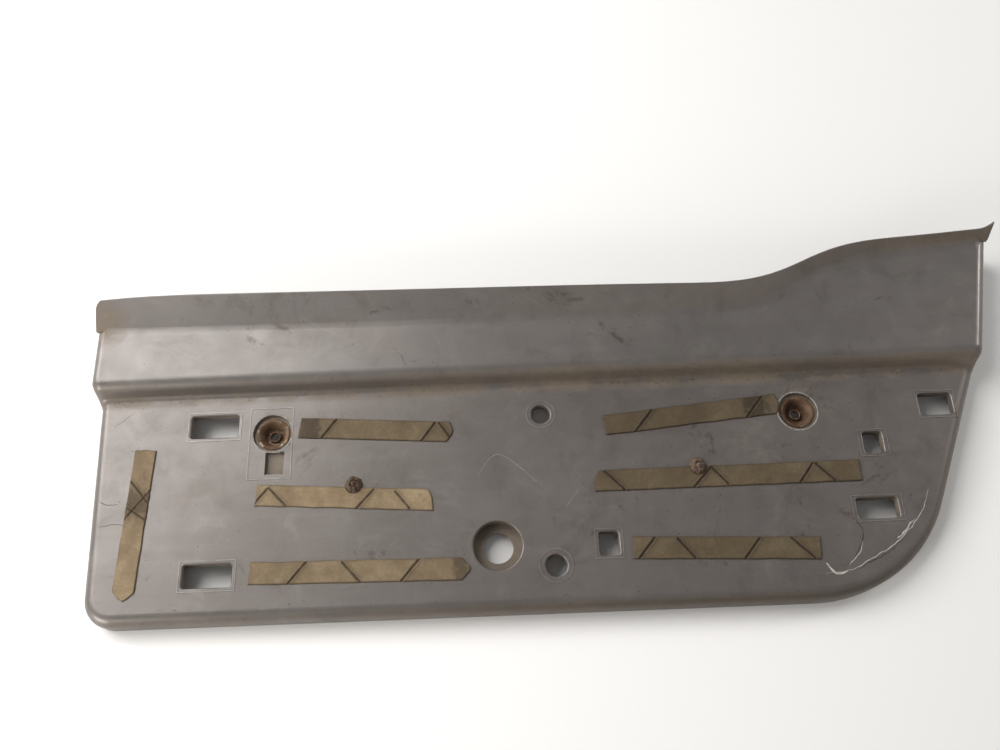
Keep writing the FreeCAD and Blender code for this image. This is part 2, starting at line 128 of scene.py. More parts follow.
def make_floor():
    mesh = bpy.data.meshes.new("floor")
    reach = 6.0
    corners = [(-reach, -reach, 0), (reach, -reach, 0), (reach, reach, 0), (-reach, reach, 0)]
    mesh.from_pydata(corners, [], [(0, 1, 2, 3)])
    floor = bpy.data.objects.new("floor", mesh)
    SCENE.collection.objects.link(floor)
    material = bpy.data.materials.new("floor_pale")
    material.use_nodes = True
    shader = material.node_tree.nodes["Principled BSDF"]
    shader.inputs["Base Color"].default_value = (0.90, 0.895, 0.885, 1.0)
    shader.inputs["Roughness"].default_value = 0.9
    mesh.materials.append(material)


# ------------------------------------------------------------------ materials

class Shader:
    """A short way to write a material's nodes."""

    def __init__(self, name, roughness=0.5, metallic=0.0, specular=0.5, coat=0.0, coat_roughness=0.3):
        self.material = bpy.data.materials.new(name)
        self.material.use_nodes = True
        self.tree = self.material.node_tree
        self.surface = self.tree.nodes["Principled BSDF"]
        self.surface.inputs["Roughness"].default_value = roughness
        self.surface.inputs["Metallic"].default_value = metallic
        self.surface.inputs["Specular IOR Level"].default_value = specular
        self.surface.inputs["Coat Weight"].default_value = coat
        self.surface.inputs["Coat Roughness"].default_value = coat_roughness
        self.place = self.add("ShaderNodeTexCoord").outputs["Object"]
        self.x, self.y, self.z = self.parts(self.place)
        self.nx, self.ny, self.nz = self.parts(self.add("ShaderNodeNewGeometry").outputs["Normal"])

    def add(self, kind):
        return self.tree.nodes.new(kind)

    def parts(self, vector):
        split = self.add("ShaderNodeSeparateXYZ")
        self.link(vector, split.inputs[0])
        return split.outputs

    def link(self, source, target):
        if isinstance(source, (int, float)):
            target.default_value = source
        elif isinstance(source, tuple):
            target.default_value = source if len(source) == 4 else (*source, 1.0)
        else:
            self.tree.links.new(source, target)

    def stretched(self, scale, turn=0.0):
        """Object coordinates turned about Z and then stretched along each axis."""
        first = self.add("ShaderNodeMapping")
        self.link(self.place, first.inputs["Vector"])
        first.inputs["Rotation"].default_value = (0, 0, turn)
        second = self.add("ShaderNodeMapping")
        self.link(first.outputs[0], second.inputs["Vector"])
        second.inputs["Scale"].default_value = scale
        return second.outputs[0]

    def noise(self, scale, detail=4.0, rough=0.55, vector=None, distortion=0.0):
        node = self.add("ShaderNodeTexNoise")
        self.link(vector or self.place, node.inputs["Vector"])
        node.inputs["Scale"].default_value = scale
        node.inputs["Detail"].default_value = detail
        node.inputs["Roughness"].default_value = rough
        node.inputs["Distortion"].default_value = distortion
        return node.outputs["Fac"]

    def cells(self, scale):
        node = self.add("ShaderNodeTexVoronoi")
        self.link(self.place, node.inputs["Vector"])
        node.inputs["Scale"].default_value = scale
        return node.outputs["Distance"]

    def painted(self, name):
        """A value stored on the mesh's points."""
        node = self.add("ShaderNodeAttribute")
        node.attribute_name = name
        return node.outputs["Fac"]

    def math(self, operation, first, second=0.0):
        node = self.add("ShaderNodeMath")
        node.operation = operation
        self.link(first, node.inputs[0])
        self.link(second, node.inputs[1])
        return node.outputs[0]

    def ramp(self, value, low, high, to_low=0.0, to_high=1.0):
        """Smoothly carry low..high over to to_low..to_high."""
        node = self.add("ShaderNodeMapRange")
        node.interpolation_type = "SMOOTHSTEP"
        for name, amount in (("Value", value), ("From Min", low), ("From Max", high), ("To Min", to_low),
                             ("To Max", to_high)):
            self.link(amount, node.inputs[name])
        return node.outputs[0]

    def mix(self, share, first, second, blend="MIX"):
        node = self.add("ShaderNodeMix")
        node.data_type = "RGBA"
        node.blend_type = blend
        self.link(share, node.inputs[0])
        self.link(first, node.inputs[6])
        self.link(second, node.inputs[7])
        return node.outputs[2]

    def times(self, *values):
        result = values[0]
        for value in values[1:]:
            result = self.math("MULTIPLY", result, value)
        return result

    def most(self, *values):
        result = values[0]
        for value in values[1:]:
            result = self.math("MAXIMUM", result, value)
        return result

    def band(self, value, middle, half, soft):
        """1 near the middle, falling to 0 beyond half + soft."""
        away = self.math("ABSOLUTE", self.math("SUBTRACT", value, middle))
        return self.ramp(away, half, half + soft, 1.0, 0.0)

    def spot(self, x, y, radius, soft):
        """1 inside a round patch of the plan, 0 outside it."""
        dx = self.math("SUBTRACT", self.x, x)
        dy = self.math("SUBTRACT", self.y, y)
        away = self.math("SQRT", self.math("ADD", self.times(dx, dx), self.times(dy, dy)))
        return self.ramp(away, radius, radius + soft, 1.0, 0.0)

    def bump(self, height, strength, distance, below=None):
        node = self.add("ShaderNodeBump")
        node.inputs["Strength"].default_value = strength
        node.inputs["Distance"].default_value = distance
        self.link(height, node.inputs["Height"])
        if below is not None:
            self.link(below, node.inputs["Normal"])
        return node.outputs[0]

    def grey(self, value):
        """A grey colour from one value."""
        node = self.add("ShaderNodeCombineColor")
        for socket in node.inputs:
            if socket.name in ("Red", "Green", "Blue"):
                self.link(value, socket)
        return node.outputs[0]

    def finish(self, **sockets):
        for name, value in sockets.items():
            self.link(value, self.surface.inputs[name.replace("_", " ")])
        return self.material


def panel_plastic():
    """Silver-grey moulded plastic: semi-gloss, finely grained, scuffed, with brown dirt where it gathers,
    painted shade on the faces turned away from the light and in the recesses, and painted light on the raised
    band and the bead tops.
    """
    s = Shader("panel_plastic", metallic=0.55, specular=0.4, coat=0.25, coat_roughness=0.17)
    cloud = s.noise(6.0, 3.0)
    wiped = s.noise(1.0, 4.0, vector=s.stretched((8.0, 70.0, 60.0)))
    grain = s.noise(1300.0, 2.0)
    color = s.mix(s.ramp(cloud, 0.3, 0.7), (0.143, 0.128, 0.118), (0.176, 0.158, 0.148))
    color = s.mix(s.ramp(wiped, 0.4, 0.75, 0.0, 0.3), color, (0.20, 0.186, 0.176))
    color = s.mix(s.ramp(grain, 0.35, 0.7, 0.0, 0.25), color, (0.095, 0.086, 0.08))
    # Painted light: the raised band above the step is mixed toward a paler grey, because it catches more of the
    # light.
    upper = s.ramp(s.z, BAND_Z - 5.0 * MM, BAND_Z - 1.0 * MM)
    color = s.mix(s.math("MULTIPLY", upper, 0.18), color, (0.21, 0.205, 0.20))
    patchy = s.noise(38.0, 6.0, 0.68, distortion=0.5)
    color = s.mix(s.ramp(patchy, 0.50, 0.72, 0.0, 0.42), color, (0.098, 0.086, 0.076))
    color = s.mix(s.ramp(patchy, 0.48, 0.30, 0.0, 0.30), color, (0.225, 0.21, 0.198))

    blots = s.noise(24.0, 6.0, 0.65)
    fine = s.noise(170.0, 5.0, 0.7)
    # Painted shade with brown dirt: faces leaning toward the front, away from the lamps, are browned and
    # darkened, more so toward the right where less light falls.
    faces_away_from_light = s.times(s.ramp(s.ny, -0.15, -0.8), s.ramp(s.z, 0.0, 6.0 * MM, 0.6, 1.0))
    shade_to_right = s.ramp(s.x, -220 * MM, 60 * MM, 0.45, 1.0)
    dirt_and_shade_turned_away = s.times(faces_away_from_light, s.ramp(blots, 0.22, 0.6, 0.2, 0.8), shade_to_right)
    foot = s.times(s.band(s.y, STEP_Y - 2.0 * MM, 1.5 * MM, 6.0 * MM), s.ramp(s.z, BAND_Z, FACE_Z + 1.0 * MM),
                   s.ramp(s.math("ADD", blots, s.math("MULTIPLY", fine, 0.3)), 0.52, 0.75), 0.8)
    smudge = s.times(s.ramp(s.noise(11.0, 5.0, 0.7, distortion=0.7), 0.56, 0.74), s.ramp(fine, 0.38, 0.62), 0.5)
    edges = s.times(s.ramp(s.nz, 0.97, 0.55), s.ramp(blots, 0.4, 0.62, 0.1, 0.6), s.ramp(fine, 0.3, 0.6))
    # Dirt and painted shade down in the recesses that sink below the face.
    inside = s.times(s.ramp(s.y, -123 * MM, -118 * MM), s.ramp(s.y, STEP_Y - 6 * MM, STEP_Y - 9 * MM),
                     s.band(s.x, -22 * MM, 290 * MM, 6 * MM))
    sunk_dirt_and_shade = s.times(inside, s.ramp(s.z, FACE_Z - 0.5 * MM, FACE_Z - 2.2 * MM),
                   s.ramp(fine, 0.25, 0.6, 0.45, 0.85))
    neck = s.times(s.spot(-322 * MM, 82 * MM, 6 * MM, 16 * MM), s.ramp(fine, 0.3, 0.6, 0.3, 0.9))
    # The union of these masks is dirt and painted shade together; it browns the colour, and raises the
    # roughness and lowers the metal where it lies.
    dirt_and_shade = s.most(dirt_and_shade_turned_away, foot, smudge, edges, sunk_dirt_and_shade, neck)
    color = s.mix(dirt_and_shade, color, s.mix(fine, (0.115, 0.084, 0.055), (0.235, 0.188, 0.138)))
    stain = s.times(s.ramp(s.noise(15.0, 5.0, 0.74, distortion=1.4), 0.60, 0.70), s.ramp(fine, 0.36, 0.58), 0.6)
    color = s.mix(stain, color, (0.060, 0.046, 0.034))
    # Painted shade: the lower flange's faces turned away from the light are darkened toward the right, with a
    # brown cast.
    flange_shade_to_right = s.times(s.ramp(s.y, STEP_Y - 10 * MM, STEP_Y - 16 * MM),
                         s.ramp(s.x, -200 * MM, 80 * MM, 0.0, 0.62))
    color = s.mix(s.times(faces_away_from_light, flange_shade_to_right), color, (0.050, 0.039, 0.030))
    speck = s.times(s.ramp(s.cells(150.0), 0.085, 0.035), s.ramp(s.noise(16.0, 2.0), 0.44, 0.60), 0.85)
    color = s.mix(speck, color, (0.035, 0.025, 0.018))

    # The tops of the raised beads are painted paler: partly rubbed wear, partly a painted highlight where they
    # catch the light.
    bead_wear_and_highlight = s.times(s.ramp(s.z, FACE_Z + 0.1 * MM, FACE_Z + 0.25 * MM),
                   s.ramp(s.z, FACE_Z + 1.4 * MM, FACE_Z + 0.9 * MM),
                   s.ramp(s.y, STEP_Y - 8 * MM, STEP_Y - 12 * MM))
    color = s.mix(s.times(bead_wear_and_highlight, s.ramp(fine, 0.3, 0.6, 0.1, 0.5)), color, (0.31, 0.296, 0.282))

    scratches = None
    directions = ((0.5, 9.0, 520.0, 0.70), (-0.35, 12.0, 600.0, 0.72), (1.15, 10.0, 560.0, 0.71))
    for turn, long_way, across, level in directions:
        line = s.noise(1.0, 2.0, 0.5, vector=s.stretched((long_way, across, 50.0), turn))
        line = s.ramp(line, level, level + 0.06)
        scratches = line if scratches is None else s.most(scratches, line)
    color = s.mix(s.math("MULTIPLY", scratches, 0.09), color, (0.34, 0.33, 0.32))

    rough = s.math("ADD", s.ramp(s.noise(55.0, 4.0), 0.3, 0.7, 0.40, 0.48), s.math("MULTIPLY", dirt_and_shade, 0.3))
    metal = s.math("SUBTRACT", 0.58, s.math("MULTIPLY", dirt_and_shade, 0.5))
    wave = s.bump(s.noise(8.0, 2.0), 0.3, 1.4 * MM)
    skin = s.bump(grain, 0.14, 0.08 * MM, below=wave)
    worn = s.bump(s.math("ADD", fine, s.math("MULTIPLY", dirt_and_shade, 0.5)), 0.14, 0.14 * MM, below=skin)
    return s.finish(Base_Color=color, Roughness=rough, Normal=worn, Metallic=metal)


def tape_foam():
    """Old double-sided foam: khaki, mottled, matt on top, with dirt pressed into its creases, painted shade
    along its edges and in its creases, and each strip's colour scaled by a level that is part its own tone,
    part painted light.
    """
    s = Shader("aged_foam_tape", specular=0.22)
    mottle = s.noise(70.0, 5.0, 0.62)
    pores = s.cells(1400.0)
    fuzz = s.noise(800.0, 3.0, 0.7)
    color = s.mix(s.ramp(mottle, 0.3, 0.7), (0.225, 0.165, 0.095), (0.31, 0.238, 0.148))
    color = s.mix(s.ramp(s.noise(34.0, 4.0), 0.42, 0.66, 0.0, 0.7), color, (0.160, 0.114, 0.066))
    color = s.mix(s.ramp(fuzz, 0.3, 0.7, 0.0, 0.4), color, (0.135, 0.098, 0.056))
    color = s.mix(s.ramp(pores, 0.35, 0.1, 0.0, 0.35), color, (0.12, 0.09, 0.055))
    grime = s.noise(190.0, 5.0, 0.7)
    # The soil value is dirt plus painted shade: darker along the tape's edges and in and around its creases.
    soil = s.math("MULTIPLY", s.painted("soil"), s.ramp(grime, 0.2, 0.55, 0.55, 1.0))
    color = s.mix(soil, color, s.mix(grime, (0.035, 0.024, 0.016), (0.085, 0.062, 0.042)))
    stain = s.times(s.ramp(s.noise(45.0, 5.0, 0.7), 0.56, 0.7), s.ramp(grime, 0.35, 0.6), 0.55)
    color = s.mix(stain, color, (0.085, 0.06, 0.038))
    # Each strip's colour is scaled by its shade value: part the tape's own tone, part painted light, darker
    # toward the right where less light falls.
    color = s.mix(1.0, color, s.grey(s.painted("shade")), "MULTIPLY")
    surface = s.bump(s.math("SUBTRACT", fuzz, s.math("MULTIPLY", pores, 0.5)), 0.45, 0.16 * MM)
    surface = s.bump(mottle, 0.35, 0.5 * MM, below=surface)
    return s.finish(Base_Color=color, Roughness=s.ramp(mottle, 0.3, 0.7, 0.62, 0.8), Normal=surface)


def rusty_steel(name, light, dark, share):
    """Steel gone brown: rust blotches over dull metal, with paler worn spots."""
    s = Shader(name, specular=0.4)
    blots = s.noise(210.0, 6.0, 0.7)
    grit = s.noise(1500.0, 4.0, 0.7)
    patches = s.ramp(blots, 0.62 - share * 0.4, 0.74 - share * 0.3)
    rust = s.mix(s.ramp(grit, 0.3, 0.7), dark, (0.135, 0.068, 0.034))
    rust = s.mix(s.ramp(s.noise(90.0, 3.0), 0.4, 0.65, 0.0, 0.6), rust, (0.20, 0.125, 0.072))
    color = s.mix(patches, light, rust)
    surface = s.bump(s.math("ADD", grit, s.math("MULTIPLY", patches, 0.8)), 0.5, 0.18 * MM)
    return s.finish(Base_Color=color, Roughness=s.ramp(patches, 0.0, 1.0, 0.36, 0.85),
                    Metallic=s.ramp(patches, 0.0, 1.0, 0.85, 0.1), Normal=surface)


def crust(name, dark, light, roughness, scale=400.0):
    """Dry dirt, torn plastic, scratches, or the dark of a painted shadow: two tones broken up by fine noise."""
    s = Shader(name, specular=0.25)
    lumps = s.noise(scale, 5.0, 0.7)
    color = s.mix(s.ramp(lumps, 0.3, 0.7), dark, light)
    surface = s.bump(lumps, 0.6, 0.2 * MM)
    return s.finish(Base_Color=color, Roughness=s.ramp(lumps, 0.3, 0.7, roughness - 0.08, roughness + 0.08),
                    Normal=surface)


# ------------------------------------------------------------------ mesh helpers

def add_piece(name, points, faces, material, slot, smooth=True, **values):
    """A mesh object that rides with the panel; extra values are stored on its points."""
    mesh = bpy.data.meshes.new(name)
    mesh.from_pydata(points, [], faces)
    mesh.validate()
    for value_name, numbers in values.items():
        layer = mesh.attributes.new(value_name, "FLOAT", "POINT")
        layer.data.foreach_set("value", numbers)
    mesh.materials.append(material)
    mesh.polygons.foreach_set("use_smooth", [smooth] * len(mesh.polygons))
    piece = bpy.data.objects.new(name, mesh)
    SCENE.collection.objects.link(piece)
    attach(piece, "root")
    return piece


def grid_faces(rows, columns, first=0, wrap=False):
    """Quads over a grid of points stored row by row; wrap joins the last column to the first."""
    faces = []
    for row in range(rows - 1):
        for column in range(columns if wrap else columns - 1):
            beside = (column + 1) % columns
            faces.append((first + row * columns + column, first + row * columns + beside,
                          first + (row + 1) * columns + beside, first + (row + 1) * columns + column))
    return faces


def jitter(place):
    """Three smooth noise values for a place, the same on every run."""
    return Vector((noise.noise(place), noise.noise(place + Vector((17.3, 0.0, 0.0))),
                   noise.noise(place + Vector((0.0, 31.7, 0.0)))))


def rounded_loop(points, passes=2):
    """Cut the corners of a closed loop of points, again and again."""
    for _ in range(passes):
        cut = []
        for index, (a, b) in enumerate(points):
            c, d = points[(index + 1) % len(points)]
            cut += [(a * 0.75 + c * 0.25, b * 0.75 + d * 0.25), (a * 0.25 + c * 0.75, b * 0.25 + d * 0.75)]
        points = cut
    return points


def turned_ring(name, centre, loop, material, slot, rough=0.0, grain=300.0, segments=96):
    """A ring turned about an upright axis from a closed loop of (radius, height), roughened by noise."""
    points = []
    for radius, height in loop:
        for step in range(segments):
            angle = 2 * math.pi * step / segments
            place = Vector((centre.x + radius * math.cos(angle), centre.y + radius * math.sin(angle), height))
            points.append(place + jitter(place * grain) * rough)
    faces = grid_faces(len(loop), segments, wrap=True)
    last = (len(loop) - 1) * segments
    faces += [(last + step, last + (step + 1) % segments, (step + 1) % segments, step)
              for step in range(segments)]
    return add_piece(name, points, faces, material, slot)


def smooth_path(points, spacing):
    """Points along a smooth curve through the given plan points, about one spacing apart."""
    path = []
    for index in range(len(points) - 1):
        before = Vector(points[max(index - 1, 0)])
        start, end = Vector(points[index]), Vector(points[index + 1])
        after = Vector(points[min(index + 2, len(points) - 1)])
        count = max(2, int((end - start).length / spacing))
        for step in range(count):
            t = step / count
            path.append(0.5 * (2 * start + (end - before) * t
                               + (2 * before - 5 * start + 4 * end - after) * t * t
                               + (3 * start - before - 3 * end + after) * t ** 3))
    path.append(Vector(points[-1]))
    return path


def surface_line(name, points_mm, width, height, material, slot="grey_plastic", wander=0.3, seed=0.0):
    """A thin ridge that lies on the panel along a path: a scratch's burr, a crack's lip, a smear, or a painted
    shadow beside a crack.
    """
    path = smooth_path([(x * MM, y * MM) for x, y in points_mm], 0.9 * MM)
    points = []
    for index, spot in enumerate(path):
        ahead = path[min(index + 1, len(path) - 1)] - path[max(index - 1, 0)]
        side = Vector((-ahead.y, ahead.x)).normalized()
        share = index / (len(path) - 1)
        taper = math.sin(math.pi * min(max(share, 0.02), 0.98)) ** 0.5
        wobble = noise.noise(Vector((spot.x * 260, spot.y * 260, seed)))
        centre = spot + side * wobble * wander * MM
        swell = noise.noise(Vector((spot.x * 500, spot.y * 500, seed + 3)))
        half = width * MM / 2 * taper * (1.0 + 0.5 * swell)
        for reach, lift in ((-half, -0.06 * MM), (0.0, height * MM * taper), (half, -0.06 * MM)):
            place = centre + side * reach
            skin = on_panel(place.x, place.y)
            points.append(skin + Vector((0, 0, lift)))
    faces = grid_faces(len(path), 3, wrap=True)
    faces += [(0, 2, 1), (len(points) - 3, len(points) - 2, len(points) - 1)]
    return add_piece(name, points, faces, material, slot)


# ------------------------------------------------------------------ foam tapes

# For each tape, in millimetres from its middle: how its two ends are torn, as how far the end stands out at
# the lower edge, the middle and the upper edge; the creases across it, as two end points each; its tone, part
# the tape's own and part painted light, darker toward the right where less light falls.
TAPES = {
    "foam_tape_left_end": ((-2.0, 4.0, -2.5), (-0.5, 0.0, -0.3),
                           [(-1, 8, 21, -8), (29, 8, 12, -8), (10, 8, 0, -8)], 1.0, (12.0, 13.0)),
    "foam_tape_upper_left": ((0.4, 0.0, -0.8), (-3.5, 1.0, -1.5),
                             [(-37, -7, -27, 8), (33, -8, 43, 8), (45, 6, 53, -4)], 0.62, (-47.0, 9.0)),
    "foam_tape_middle_left": ((0.6, 0.0, 0.4), (1.0, 0.0, -3.5),
                              [(-61, -6, -53, 5), (-52, 5, -38, -8), (9, -8, 20, 6), (35, 5, 46, -7)],
                              1.12, None),
    "foam_tape_lower_left": ((0.5, 0.0, -0.4), (-5.0, 1.2, -4.5),
                             [(-47, -8, -35, 7), (-11, 6, 2, -8), (28, -8, 41, 8)], 0.85, (68.0, 7.0)),
    "foam_tape_upper_right": ((-0.4, 0.0, 1.0), (-1.2, 1.4, 0.0),
                              [(-41, -8, -25, 8), (38, -8, 53, 7)], 0.42, (46.0, 10.0)),
    "foam_tape_middle_right": ((0.0, 0.4, -4.0), (0.3, 0.0, 0.2),
                               [(-84, 7, -70, -8), (-24, -8, -11, 6), (-10, 6, 0, -6), (49, -7, 60, 7),
                                (61, 6, 73, -7)], 0.50, None),
    "foam_tape_lower_right": ((0.2, 0.0, 0.0), (-0.4, 0.2, 0.2),
                              [(-58, -7, -47, 7), (-32, 6, -21, -7), (12, -7, 23, 7), (43, 7, 58, -7)],
                              0.50, None),
}
SCREWS = ("screw_left", "screw_right")
BURR_CLEAR = 5.9 * MM
GROOVE_DEPTH = 0.80 * MM
GROOVE_HALF = 1.0
GROOVE_LIP = 0.30 * MM


def tape_axes(node):
    """The middle, the direction along, the length and the width of a strip, read from its mesh."""
    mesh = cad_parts[node].data
    spots = [vertex.co for vertex in mesh.vertices]
    runs = [spots[edge.vertices[1]] - spots[edge.vertices[0]] for edge in mesh.edges]
    level = [run.normalized() for run in runs if abs(run.z) < 0.01 * MM and run.length > 10 * MM]

    def breadth(way):
        sideways = [spot.y * way.x - spot.x * way.y for spot in spots]
        return max(sideways) - min(sideways)

    along = min(level, key=breadth)
    if along.x < -0.5 or along.y < -0.9:
        along = -along
    across = Vector((-along.y, along.x, 0))
    reach = [spot.dot(along) for spot in spots]
    spread = [spot.dot(across) for spot in spots]
    middle = along * (min(reach) + max(reach)) / 2 + across * (min(spread) + max(spread)) / 2
    return middle, along, across, max(reach) - min(reach), max(spread) - min(spread)


def away_from_line(x, y, line):
    """Distance in millimetres from a point to a crease."""
    ax, ay, bx, by = line
    run = Vector((bx - ax, by - ay))
    share = max(0.0, min(1.0, ((x - ax) * run.x + (y - ay) * run.y) / run.length_squared))
    return math.hypot(x - ax - run.x * share, y - ay - run.y * share)


def end_reach(torn, share):
    """How far a torn end stands out at a share of the width, from -1 at the lower edge to 1 at the upper."""
    lower, middle, upper = torn
    return middle + (upper - middle) * max(share, 0) ** 1.4 + (lower - middle) * max(-share, 0) ** 1.4


def make_tape(node, material):
    first_end, last_end, creases, tone_and_light, patch = TAPES[node]
    middle, along, across, length, width = tape_axes(node)
    seed = len(node) * 1.7 + middle.x * 40
    pitch = 0.5 * MM
    columns = int(length / pitch)
    rows = int(width / pitch)
    notches = [((middle_of(screw) - middle).dot(along), (middle_of(screw) - middle).dot(across))
               for screw in SCREWS]
    top, soil = [], []
    for row in range(rows + 1):
        for column in range(columns + 1):
            share = 2 * row / rows - 1
            start = -length / 2 - end_reach(first_end, share) * MM
            end = length / 2 + end_reach(last_end, share) * MM
            tear = noise.noise(Vector((share * 3.1, seed, 5))) * 0.5 * MM
            s = start + tear + (end - start) * column / columns
            high = width / 2 + noise.noise(Vector((s * 90, seed, 1))) * 0.35 * MM
            low = -width / 2 + noise.noise(Vector((s * 80, seed, 9))) * 0.35 * MM
            for notch_s, notch_t in notches:
                if abs(s - notch_s) < BURR_CLEAR and 0 < notch_t < width:
                    high = min(high, notch_t - math.sqrt(BURR_CLEAR ** 2 - (s - notch_s) ** 2))
            t = low + (high - low) * row / rows
            margin = min(t - low, high - t, s - start - tear, end + tear - s)
            rounding = 0.55 * MM
            gap = max(0.0, rounding - margin)
            height = TAPE_THICK * 0.96 - rounding + math.sqrt(max(rounding ** 2 - gap ** 2, 0.0))
            place = Vector((s * 1000, t * 1000, seed))
            height += noise.noise(place * 0.12) * 0.10 * MM + noise.noise(place * 0.7) * 0.04 * MM
            # Painted shade: a dark rim along every edge of the strip, where its shadow falls, and darkening in
            # and around each crease; the noise blotches and the patch are dirt.
            dark = 0.5 * math.exp(-(margin / (0.7 * MM)) ** 2)
            dark += 0.25 * max(0.0, noise.noise(place * 0.08) - 0.1)
            for number, crease in enumerate(creases):
                drift = noise.noise(Vector((s * 300, t * 300, number + seed))) * 0.5
                away = away_from_line(s / MM, t / MM, crease) + drift * 0.5
                height -= GROOVE_DEPTH * max(0.0, 1 - max(away, 0.0) / GROOVE_HALF)
                height += GROOVE_LIP * math.exp(-((away - 1.35) / 0.5) ** 2)
                dark = max(dark, math.exp(-(max(away, 0.0) / GROOVE_HALF) ** 2))
                dark = max(dark, 0.32 * math.exp(-(max(away, 0.0) / 3.0) ** 2))
            if patch:
                reach = abs(s / MM - patch[0]) / patch[1]
                dark = max(dark, 0.72 * max(0.0, min(1.0, 2.2 * (1 - reach) + noise.noise(place * 0.3) * 0.8)))
            height = max(height, 0.15 * MM)
            top.append(middle + along * s + across * t + Vector((0, 0, FACE_Z + height - middle.z)))
            soil.append(min(dark, 1.0))
    under = [Vector((point.x, point.y, FACE_Z)) for point in top]
    count = len(top)
    wide = columns + 1
    faces = grid_faces(rows + 1, wide)
    faces += [tuple(reversed(face)) for face in grid_faces(rows + 1, wide, first=count)]
    rim = [column for column in range(wide)]
    rim += [row * wide + columns for row in range(1, rows + 1)]
    rim += [rows * wide + column for column in range(columns - 1, -1, -1)]
    rim += [row * wide for row in range(rows - 1, 0, -1)]
    faces += [(rim[index - 1] + count, rim[index] + count, rim[index], rim[index - 1])
              for index in range(len(rim))]
    piece = add_piece(node + "_foam", top + under, faces, material, "foam_tape", soil=soil + soil,
                      shade=[tone_and_light] * (2 * count))
    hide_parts(node)


# ------------------------------------------------------------------ cups, eyelets and screws

def make_cup(side, cup_metal, eyelet_metal, worn):
    """A pressed cup with a rolled rim, the worn lip of its seat, and the eyelet set in its floor."""
    cup, eyelet = "steel_cup_" + side, "eyelet_" + side
    centre = middle_of(cup)
    low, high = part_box(cup)
    rim = (high.x - low.x) / 2 - 1.0 * MM
    sheet = 0.95 * MM
    hole = (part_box(eyelet)[1].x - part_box(eyelet)[0].x) / 2
    floor = low.z + sheet
    section = [
        (rim, high.z - 0.75 * MM), (rim, high.z), (rim - 0.9 * MM, high.z + 0.05 * MM),
        (rim - 2.1 * MM, high.z - 0.3 * MM), (rim - 3.0 * MM, high.z - 2.2 * MM),
        (rim - 4.6 * MM, floor + 1.6 * MM), (rim - 5.8 * MM, floor + 0.2 * MM), (hole + 1.2 * MM, floor),
        (hole, floor + 0.3 * MM), (hole, low.z), (rim - 5.4 * MM, low.z), (rim - 3.6 * MM, low.z + 1.4 * MM),
        (rim - 1.9 * MM, high.z - 2.4 * MM), (rim - 1.1 * MM, high.z - 0.8 * MM),
    ]
    piece = turned_ring(cup + "_pressed", centre, rounded_loop(section), cup_metal, "rusty_steel", 0.10 * MM)
    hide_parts(cup)
    seat = rim + 1.9 * MM
    section = [(seat, FACE_Z - 0.3 * MM), (seat + 0.1 * MM, FACE_Z + 0.22 * MM),
               (seat + 0.9 * MM, FACE_Z + 0.26 * MM), (seat + 1.3 * MM, FACE_Z - 0.1 * MM)]
    turned_ring("seat_lip_" + side, centre, rounded_loop(section), worn, "grey_plastic", 0.12 * MM, 220.0)
    tube_low, tube_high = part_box(eyelet)
    bore = hole - 1.5 * MM
    section = [
        (hole, tube_low.z), (hole, tube_high.z - 0.9 * MM), (hole - 0.3 * MM, tube_high.z),
        (bore + 0.5 * MM, tube_high.z), (bore, tube_high.z - 0.6 * MM), (bore, tube_low.z),
    ]
    piece = turned_ring(eyelet + "_turned", middle_of(eyelet), rounded_loop(section), eyelet_metal,
                        "rusty_steel", 0.07 * MM)
    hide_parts(eyelet)


def make_screw(node, metal):
    """A pan-head self-tapping screw with a true helical thread."""
    low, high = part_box(node)
    centre = (low + high) / 2
    head_radius = (high.x - low.x) / 2
    pitch, crest, core, tip = 1.8 * MM, 2.35 * MM, 1.6 * MM, 4.5 * MM
    head_top = low.z + 3.0 * MM
    around = 48
    rings = [(0.02 * MM, low.z + 0.9 * MM, 0), (1.2 * MM, low.z + 0.9 * MM, 0), (2.0 * MM, low.z + 0.1 * MM, 0),
             (head_radius * 0.7, low.z, 0), (head_radius * 0.93, low.z + 0.7 * MM, 0),
             (head_radius, low.z + 1.7 * MM, 0), (head_radius * 0.98, head_top, 0), (core, head_top, 0)]
    steps = 120
    for step in range(1, steps + 1):
        height = head_top + (high.z - head_top) * step / steps
        narrowing = max(0.06, min(1.0, (high.z - height) / tip))
        rings.append((core * narrowing, height, (crest - core) * min(1.0, narrowing * 1.3)))
    points = []
    for radius, height, ridge in rings:
        for step in range(around):
            angle = 2 * math.pi * step / around
            phase = (height / pitch - step / around) % 1.0
            swell = max(0.0, 1 - abs(phase - 0.5) / 0.3) ** 0.8
            place = Vector((math.cos(angle), math.sin(angle), 0)) * (radius + ridge * swell)
            place += Vector((centre.x, centre.y, height))
            points.append(place + jitter(place * 900) * 0.05 * MM)
    faces = grid_faces(len(rings), around, wrap=True)
    faces.append(tuple(range(around - 1, -1, -1)))
    faces.append(tuple((len(rings) - 1) * around + step for step in range(around)))
    piece = add_piece(node + "_threaded", points, faces, metal, "screw_steel")
    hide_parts(node)


